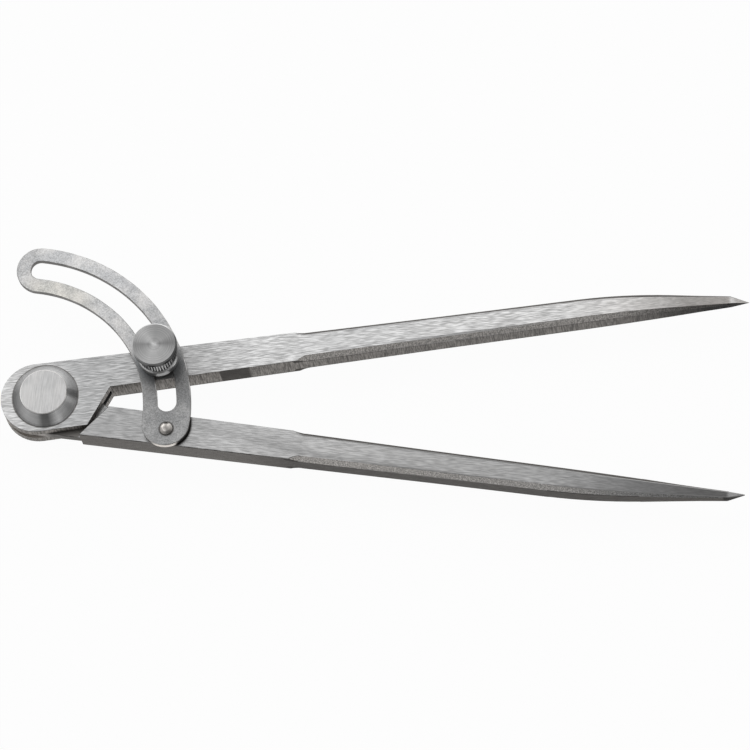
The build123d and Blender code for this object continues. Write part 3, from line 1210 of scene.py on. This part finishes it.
@dataclass
class ThumbScrew:
    """The knurled clamp screw."""

    effects: Effects
    cap_radius: float = 6.0 * MM
    cap_edge: float = 0.35 * MM
    cap_height: float = 1.6 * MM
    cap_lip: float = 0.12 * MM
    cap_shade: float = 0.55 * MM
    knurl_radius: float = 5.25 * MM
    knurl_height: float = 4.7 * MM
    knurl_depth: float = 0.38 * MM
    ridges: int = 42
    ridge_share: float = 0.34
    ridge_sides: int = 10
    groove_radius: float = 4.7 * MM
    groove_height: float = 0.7 * MM
    collar_radius: float = 5.45 * MM
    collar_height: float = 2.3 * MM
    collar_edge: float = 0.45 * MM
    collar_lip: float = 0.1 * MM
    neck_radius: float = 1.35 * MM
    neck_height: float = 0.95 * MM
    neck_fillet: float = 0.15 * MM
    stem_radius: float = 1.5 * MM
    stem_edge: float = 0.4 * MM
    steps: int = 144
    # Painted shade: the knurl's roots, the groove and the band under the cap are drawn near black.
    gap_steel: EdgeSteel = EdgeSteel("screw_gap", bright=0.07, dull=0.03)
    side_steel: TurnedSteel = TurnedSteel("screw_side", light=0.5, dark=0.34, roughness=0.32)
    face_steel: TurnedSteel = TurnedSteel(
        "screw_face", light=0.54, dark=0.40, rings=3400.0, hub_radius=1.4 * MM, hub=0.9,
        # Painted reflections on the turned face by angle, and a lighter painted centre.
        sectors=(
            (-180.0, 0.42), (-150.0, 0.62), (-105.0, 0.85), (-75.0, 0.84), (-35.0, 0.58), (5.0, 0.38),
            (35.0, 0.62), (85.0, 0.6), (125.0, 0.8), (150.0, 0.62), (180.0, 0.42),
        ),
    )
    rim_steel: TurnedSteel = TurnedSteel(
        "screw_rim", light=0.6, dark=0.4, rings=400.0, drawn=0.0,
        # Painted highlight on the rim at the upper right, painted shade at the right.
        sectors=(
            (-180.0, 1.0), (-120.0, 0.8), (-60.0, 0.7), (-25.0, 0.25), (20.0, 0.2), (45.0, 1.0),
            (60.0, 1.7), (100.0, 1.5), (140.0, 1.0), (180.0, 1.0),
        ),
    )
    wall_steel: TurnedSteel = TurnedSteel(
        "screw_cap_wall", light=0.5, dark=0.4, rings=400.0, drawn=0.0,
        # Painted shade on the cap's wall all round, a little lighter towards the back right.
        sectors=(
            (-180.0, 0.1), (-140.0, 0.1), (-80.0, 0.14), (-50.0, 0.1), (-20.0, 0.05), (30.0, 0.05),
            (60.0, 0.3), (180.0, 0.1),
        ),
    )
    collar_steel: TurnedSteel = TurnedSteel(
        "screw_collar", light=0.9, dark=0.7, roughness=0.3,
        # Painted highlight along the collar's rounded edge at the lower left and lower right, painted shade
        # to the right and behind.
        sectors=(
            (-180.0, 0.5), (-145.0, 1.0), (-110.0, 1.05), (-98.0, 0.55), (-80.0, 0.45), (-66.0, 0.6),
            (-45.0, 0.95), (-22.0, 0.9), (-6.0, 0.3), (30.0, 0.15), (150.0, 0.15), (180.0, 0.5),
        ),
    )
    knurl_steel: TurnedSteel = TurnedSteel(
        "screw_knurl", light=0.85, dark=0.7, rings=400.0, drawn=0.0,
        # Painted light and shade round the knurl: lightest at the front, in shade at the sides and behind.
        sectors=(
            (-180.0, 0.12), (-140.0, 0.3), (-115.0, 0.55), (-80.0, 0.78), (-50.0, 0.62), (-20.0, 0.35),
            (10.0, 0.2), (180.0, 0.12),
        ),
    )

    def build(self) -> None:
        """Makes the screw in one piece: turned body, ridges and stem."""
        low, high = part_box("clamp_screw")
        axis = middle(low, high)
        cap = high.z - self.cap_height
        grip = cap - self.knurl_height
        body = self._body(axis, low.z, high.z, cap, grip)
        screw = Bench.join("clamp_screw_turned", [body, *self._ridges(axis, grip, cap)])
        Bench.smooth(screw)
        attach(screw, "screw")
        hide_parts("clamp_screw")
        Bench.report(screw)

    def _body(self, axis: Point, foot: float, top: float, cap: float, grip: float) -> Piece:
        """Turns everything but the ridges.

        Args:
            axis: Place of the screw's axis.
            foot: Height of the stem's lower end.
            top: Height of the face.
            cap: Height of the knurl's upper end.
            grip: Height of the knurl's lower end.

        Returns:
            The body, dressed.
        """
        groove = grip - self.groove_height
        collar = groove - self.collar_height
        root = self.knurl_radius - self.knurl_depth
        corner = 0.3 * self.collar_edge
        profile = [
            (self.stem_radius - self.stem_edge, foot),
            (self.stem_radius, foot + self.stem_edge),
            (self.stem_radius, collar - self.neck_height - self.neck_fillet),
            (self.neck_radius, collar - self.neck_height),
            (self.neck_radius, collar),
            (self.collar_radius - self.collar_lip, collar),
            (self.collar_radius, collar + self.collar_lip),
            (self.collar_radius, groove - self.collar_edge),
            (self.collar_radius - corner, groove - corner),
            (self.collar_radius - self.collar_edge, groove),
            (self.groove_radius, groove),
            (self.groove_radius, grip),
            (root, grip),
            (root, cap),
            (self.cap_radius - self.cap_lip, cap),
            (self.cap_radius, cap + self.cap_lip),
            (self.cap_radius, cap + self.cap_shade),
            (self.cap_radius, top - self.cap_edge),
            (self.cap_radius - self.cap_edge, top),
        ]
        body = Bench.turn("screw_body", axis, profile, self.steps)
        turned = (self.side_steel, self.face_steel, self.rim_steel, self.wall_steel, self.collar_steel)
        materials = [replace(steel, axis=axis).build(self.effects) for steel in turned]
        materials.insert(Slot.GAP, self.gap_steel.build(self.effects))
        Bench.dress(body, *materials)
        # The gap slot takes the painted shade of the knurl's roots, the groove and the band under the cap.
        for polygon in body.data.polygons:
            height = polygon.center.z + body.location.z
            if polygon.normal.z > 0.99 and height > top - self.cap_edge:
                polygon.material_index = Slot.FACE
            elif height > top - self.cap_edge * 0.9:
                polygon.material_index = Slot.RIM
            elif grip < height < cap or groove < height < grip:
                polygon.material_index = Slot.GAP
            elif height > cap + self.cap_shade:
                polygon.material_index = Slot.WALL
            elif height > cap - 0.01 * MM:
                polygon.material_index = Slot.GAP
            elif groove - self.collar_edge < height <= groove and polygon.center.length > self.groove_radius:
                polygon.material_index = Slot.COLLAR
        return body

    def _ridges(self, axis: Point, grip: float, cap: float) -> list[Piece]:
        """Makes the ridges of the knurl: bars with rounded backs.

        Args:
            axis: Place of the screw's axis.
            grip: Height of their lower end.
            cap: Height of their upper end.

        Returns:
            The ridges, in order round the screw.
        """
        width = 2 * math.pi * self.knurl_radius / self.ridges * self.ridge_share
        place = (axis[0] + self.knurl_radius - self.knurl_depth, axis[1], (grip + cap) / 2)
        bpy.ops.object.select_all(action="DESELECT")
        bpy.ops.mesh.primitive_cylinder_add(
            vertices=self.ridge_sides, radius=width, depth=cap - grip, location=place
        )
        first = bpy.context.object
        first.name = "ridge_0"
        first.scale.x = self.knurl_depth / width
        Bench.settle(first)
        Bench.dress(first, replace(self.knurl_steel, axis=axis).build(self.effects))
        ridges = [first]
        centre = Vector((*axis, 0))
        for number in range(1, self.ridges):
            turn = Matrix.Rotation(2 * math.pi * number / self.ridges, 4, "Z")
            ridge = first.copy()
            ridge.data = first.data.copy()
            ridge.data.transform(Matrix.Translation(centre) @ turn @ Matrix.Translation(-centre))
            bpy.context.scene.collection.objects.link(ridge)
            ridges.append(ridge)
        return ridges


@dataclass
class Studio:
    """Floor, lamps, surroundings and camera."""

    centre: Place = (0.09, 0.0, 0.0)
    floor_size: float = 6.0
    floor_drop: float = 0.02 * MM
    paper: float = 0.85
    shown_white: float = 0.96
    front_light: float = 0.28
    back_light: float = 0.85
    lamps: tuple[tuple[str, Place, float, float], ...] = (
        ("key", (-0.75, 0.85, 1.0), 0.5, 1.9),
        ("overhead", (-0.25, 0.55, 1.30), 1.0, 2.0),
    )
    camera_at: Place = (0.246677, -0.528748, 1.322777)
    camera_turn: Place = (0.3885, 0.1051, 0.03786)
    lens: float = 259.05
    sensor: float = 36.0
    nearest: float = 0.05
    farthest: float = 20.0

    def build(self) -> None:
        """Sets everything up around the divider."""
        bpy.context.scene.view_settings.view_transform = "Standard"
        self._floor()
        self._world()
        for lamp in self.lamps:
            self._lamp(*lamp)
        self._camera()

    def _floor(self) -> None:
        """Pale floor that shows as white and keeps the shadow."""
        bpy.ops.object.select_all(action="DESELECT")
        place = (self.centre[0], 0, -self.floor_drop)
        bpy.ops.mesh.primitive_plane_add(size=self.floor_size, location=place)
        floor = bpy.context.object
        floor.name = "floor"
        material = bpy.data.materials.new("floor_paper")
        material.use_nodes = True
        graph = Graph(material.node_tree)
        paper = graph.add("ShaderNodeBsdfPrincipled", {"Base Color": grey(self.paper), "Roughness": 0.9})
        white = graph.add("ShaderNodeEmission", {"Color": grey(1.0), "Strength": 1.0})
        path = graph.add("ShaderNodeLightPath").outputs
        seen = graph.math("MAXIMUM", path["Is Camera Ray"], path["Is Glossy Ray"])
        share = graph.times(seen, self.shown_white)
        mixed = graph.add("ShaderNodeMixShader", {0: share, 1: paper.outputs[0], 2: white.outputs[0]})
        graph.add("ShaderNodeOutputMaterial", {"Surface": mixed.outputs[0]})
        floor.data.materials.append(material)

    def _world(self) -> None:
        """Pale surroundings that are brighter behind and above than in front."""
        world = bpy.data.worlds.new("studio")
        bpy.context.scene.world = world
        world.use_nodes = True
        graph = Graph(world.node_tree)
        level = graph.axis(graph.add("ShaderNodeTexCoord").outputs["Generated"], "Y")
        strength = graph.span(level, -0.6, 0.8, self.front_light, self.back_light)
        dim = graph.add("ShaderNodeBackground", {"Color": grey(1.0), "Strength": strength})
        white = graph.add("ShaderNodeBackground", {"Color": grey(1.0), "Strength": 1.0})
        camera = graph.add("ShaderNodeLightPath").outputs["Is Camera Ray"]
        mixed = graph.add("ShaderNodeMixShader", {0: camera, 1: dim.outputs[0], 2: white.outputs[0]})
        graph.add("ShaderNodeOutputWorld", {"Surface": mixed.outputs[0]})

    def _lamp(self, name: str, place: Place, size: float, power: float) -> None:
        """Adds a square soft box that looks at the divider.

        Args:
            name: Name of the lamp.
            place: Its place, in metres.
            size: Length of its side, in metres.
            power: Its power in watts.
        """
        bpy.ops.object.light_add(type="AREA", location=place)
        lamp = bpy.context.object
        lamp.name = name
        lamp.data.size = size
        lamp.data.energy = power
        away = Vector(place) - Vector(self.centre)
        lamp.rotation_euler = away.to_track_quat("Z", "Y").to_euler()

    def _camera(self) -> None:
        """Puts the camera where the photograph was taken from."""
        bpy.ops.object.camera_add(location=self.camera_at, rotation=self.camera_turn)
        camera = bpy.context.object
        camera.data.sensor_width = self.sensor
        camera.data.lens = self.lens
        camera.data.clip_start = self.nearest
        camera.data.clip_end = self.farthest
        bpy.context.scene.camera = camera


def main() -> None:
    """Builds the pieces in order, then the studio."""
    logging.basicConfig(level=logging.INFO, format="%(message)s")
    bpy.ops.object.select_all(action="DESELECT")
    effects = Effects()
    Legs(effects).build()
    PivotJoint(effects).build()
    Wing(effects).build()
    ThumbScrew(effects).build()
    Studio().build()


if __name__ == "__main__":
    main()
